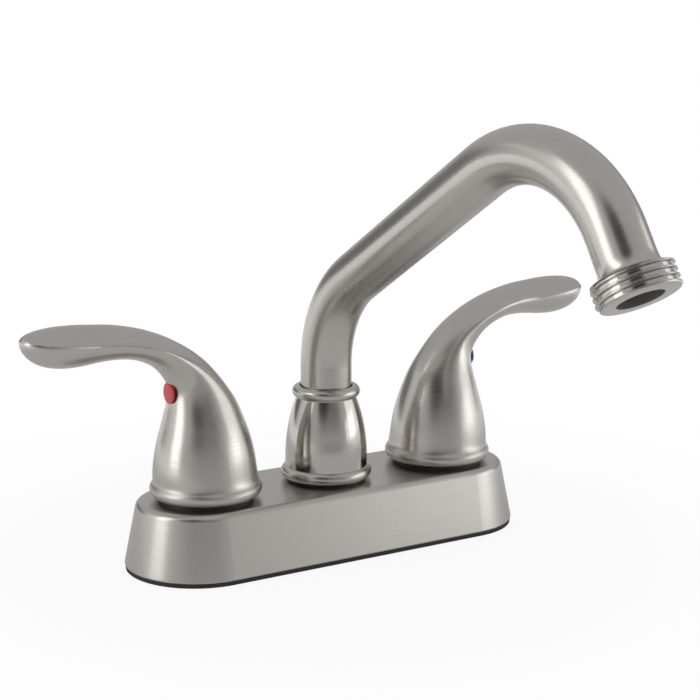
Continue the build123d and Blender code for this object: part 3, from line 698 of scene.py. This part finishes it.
def make_button(side, x, place, look):
    """Colour button as a shallow lens on a short stem, where the solid's button stands."""
    node = frame["nodes"][f"{side}_index_button"]
    corners = [node.matrix_world @ Vector(corner) for corner in node.bound_box]
    tip = max(abs(corner.x - x) for corner in corners) / MM
    middle = (min(corner.z for corner in corners) + max(corner.z for corner in corners)) / 2 / MM
    seat = tip - BUTTON_HEIGHT
    dome = BUTTON_HEIGHT - BUTTON_RIM
    profile = [
        (BUTTON_STEM_RADIUS, -BUTTON_STEM_LENGTH),
        (BUTTON_STEM_RADIUS, 0.0),
        (BUTTON_RADIUS, 0.0),
        (BUTTON_RADIUS, BUTTON_RIM),
    ]
    for step in range(1, DOME_STEPS):
        angle = step / DOME_STEPS * math.pi / 2
        profile.append((BUTTON_RADIUS * math.cos(angle), BUTTON_RIM + dome * math.sin(angle)))
    angles = [math.tau * i / BUTTON_POINTS for i in range(BUTTON_POINTS)]
    rows = [
        [place @ Vector((seat + out, r * math.cos(a), middle + r * math.sin(a))) for a in angles]
        for r, out in profile
    ]
    shape = skin(
        rows,
        place @ Vector((seat - BUTTON_STEM_LENGTH, 0, middle)),
        place @ Vector((tip, 0, middle)),
    )
    finish(shape, f"{side}_button_lens", f"{side}_lever", f"{side}_index_button", look)


# Side, place along X in metres, turn and colour of each handle
HANDLES = [("cold", 0.0508, 0.0, "blue_plastic"), ("hot", -0.0508, math.pi, "red_plastic")]

for side, x, turn, look in HANDLES:
    place = handle_place(x, turn)
    make_handle(side, place)
    make_button(side, x, place, look)
make_outlet(Vector(outlet["pos_m"]), Vector(outlet["axis"]))


# Lamps

LAMP_TARGET = Vector((0, 0, 0.06))

# Azimuth and elevation in degrees, distance, width and height in metres, brightness of the face
SOFTBOXES = {
    "left_box": (-95, 20, 1.3, 0.55, 1.2, 1.45),
    "left_fill": (-122, 14, 1.35, 0.95, 0.85, 0.26),
    "right_box": (62, 9, 1.3, 0.98, 0.95, 0.74),
    "right_fill": (48, 3, 1.3, 0.85, 0.30, 0.70),
}


def softbox(name, azimuth, elevation, distance, width, height, radiance):
    """A rectangular lamp aimed at the part. Its power follows from its area and how bright its face looks."""
    lamp = bpy.data.lights.new(name, "AREA")
    lamp.shape = "RECTANGLE"
    lamp.size, lamp.size_y = width, height
    lamp.energy = radiance * math.pi * width * height
    thing = bpy.data.objects.new(name, lamp)
    back = direction_to(math.radians(azimuth), math.radians(elevation))
    thing.location = LAMP_TARGET + back * distance
    thing.rotation_mode = "QUATERNION"
    thing.rotation_quaternion = (-back).to_track_quat("-Z", "Y")
    thing.visible_camera = False
    bpy.context.scene.collection.objects.link(thing)


for name, values in SOFTBOXES.items():
    softbox(name, *values)


# Room: white to the camera, and in reflections a grey studio, darker in front and in two gaps behind

# Grey of the room by the upward part of the direction
ROOM_STOPS = [(0.0, 0.47), (0.17, 0.31), (0.36, 0.20), (0.48, 0.20), (0.60, 0.36), (0.72, 0.50)]
ROOM_GREY = 0.50

# Azimuth of the darker front, with the cosines between which it fades
ROOM_FRONT = (-18, 0.68, 0.95)

# A dark card: its direction, the cosines between which it fades, and its grey
CARD_DIRECTION, CARD_FADE, CARD_GREY = (-0.5547, -0.6161, 0.5592), (0.90, 0.985), 0.06

# Azimuth, fading cosines and grey of each gap, and the upward parts between which the gaps end
ROOM_GAPS = [(112, 0.80, 0.96, 0.34), (-158, 0.84, 0.97, 0.18)]
GAP_TOP = (0.42, 0.20)


def make_room():
    """The world's background."""
    world = bpy.data.worlds.new("studio")
    bpy.context.scene.world = world
    world.use_nodes = True
    tree = world.node_tree
    background = tree.nodes["Background"]
    rays = add(tree, "ShaderNodeLightPath").outputs
    direction = add(tree, "ShaderNodeTexCoord").outputs["Generated"]
    height = part_of(tree, direction, "Z")
    flat = vector(tree, "NORMALIZE", vector(tree, "MULTIPLY", direction, (1, 1, 0)))

    def towards(azimuth, low, high):
        """1 where the room is seen towards an azimuth, 0 beyond a spread of it, given as cosines."""
        cosine = measured(tree, "DOT_PRODUCT", flat, direction_to(math.radians(azimuth), 0))
        return share_of(tree, cosine, low, high)

    column = add(tree, "ShaderNodeValToRGB", [("Fac", height)])
    stops = column.color_ramp.elements
    while len(stops) < len(ROOM_STOPS):
        stops.new(0.5)
    for element, (position, grey) in zip(stops, ROOM_STOPS):
        element.position = position
        element.color = (grey, grey, grey, 1)
    room = mixed(tree, towards(*ROOM_FRONT), ROOM_GREY, column.outputs["Color"])
    card = share_of(tree, measured(tree, "DOT_PRODUCT", direction, CARD_DIRECTION), *CARD_FADE)
    room = mixed(tree, card, room, CARD_GREY)
    below = share_of(tree, height, *GAP_TOP)
    for azimuth, low, high, grey in ROOM_GAPS:
        room = mixed(tree, number(tree, "MULTIPLY", towards(azimuth, low, high), below), room, grey)
    shown = number(tree, "MAXIMUM", rays["Is Camera Ray"], rays["Is Transmission Ray"])
    colour = add(tree, "ShaderNodeCombineColor", [("Red", room), ("Green", room), ("Blue", room)]).outputs[0]
    tree.links.new(mixed(tree, shown, colour, WHITE, data_type="RGBA"), background.inputs["Color"])
    background.inputs["Strength"].default_value = 1.0


make_room()


# Floor: white to the camera away from the part, and in reflections brighter at the sides than in front

FLOOR_RADIUS, FLOOR_POINTS, FLOOR_DROP = 6, 96, 0.0002
FLOOR_COLOUR, FLOOR_ROUGHNESS = (0.93, 0.93, 0.93), 0.9

# Distances from the origin in metres between which the floor turns white, and its share of white up to there
WHITE_STARTS, WHITE_ENDS, WHITE_NEAR = 0.05, 0.26, 0.91

# The floor's front, the cosines between which it begins, and how bright each area glows in reflections
FRONT_DIRECTION, FRONT_STARTS, FRONT_ENDS = (-0.259, -0.966, 0), 0.30, 0.96
SIDE_STRENGTH, FRONT_STRENGTH, NEAR_STRENGTH = 0.92, 0.34, 0.62

# Distances between which near turns to away, and the share of the glow in the reflections of each
AWAY, NEAR_MIRRORED, AWAY_MIRRORED = (0.22, 0.40), 0.35, 0.95


def make_floor():
    """A round floor just under the part."""
    shape = bmesh.new()
    bmesh.ops.create_circle(shape, cap_ends=True, segments=FLOOR_POINTS, radius=FLOOR_RADIUS)
    mesh = bpy.data.meshes.new("floor")
    shape.to_mesh(mesh)
    shape.free()
    floor = bpy.data.objects.new("floor", mesh)
    floor.location.z = -FLOOR_DROP
    bpy.context.scene.collection.objects.link(floor)
    material, tree, shader = new_material("pale_floor", FLOOR_COLOUR, 0.0, FLOOR_ROUGHNESS)
    place = place_in(tree)
    rays = add(tree, "ShaderNodeLightPath").outputs
    reach = measured(tree, "LENGTH", place)
    far = ranged(tree, reach, WHITE_STARTS, WHITE_ENDS, WHITE_NEAR, 1.0, interpolation_type="SMOOTHSTEP")
    front = measured(tree, "DOT_PRODUCT", vector(tree, "NORMALIZE", place), FRONT_DIRECTION)
    around = ranged(tree, front, FRONT_STARTS, FRONT_ENDS, SIDE_STRENGTH, FRONT_STRENGTH)
    away = share_of(tree, reach, *AWAY)
    mirrored = mixed(tree, away, NEAR_MIRRORED, AWAY_MIRRORED)
    strength = mixed(tree, rays["Is Camera Ray"], mixed(tree, away, NEAR_STRENGTH, around), 1.0)
    white = add(tree, "ShaderNodeEmission", [("Color", WHITE), ("Strength", strength)]).outputs[0]
    seen = number(tree, "MULTIPLY_ADD", rays["Is Glossy Ray"], mirrored, rays["Is Camera Ray"], clamp=True)
    share = number(tree, "MULTIPLY", seen, far)
    blend = add(tree, "ShaderNodeMixShader", [(0, share), (1, shader.outputs[0]), (2, white)])
    tree.links.new(blend.outputs[0], tree.nodes["Material Output"].inputs["Surface"])
    mesh.materials.append(material)


make_floor()

bpy.context.scene.view_settings.view_transform = "Standard"
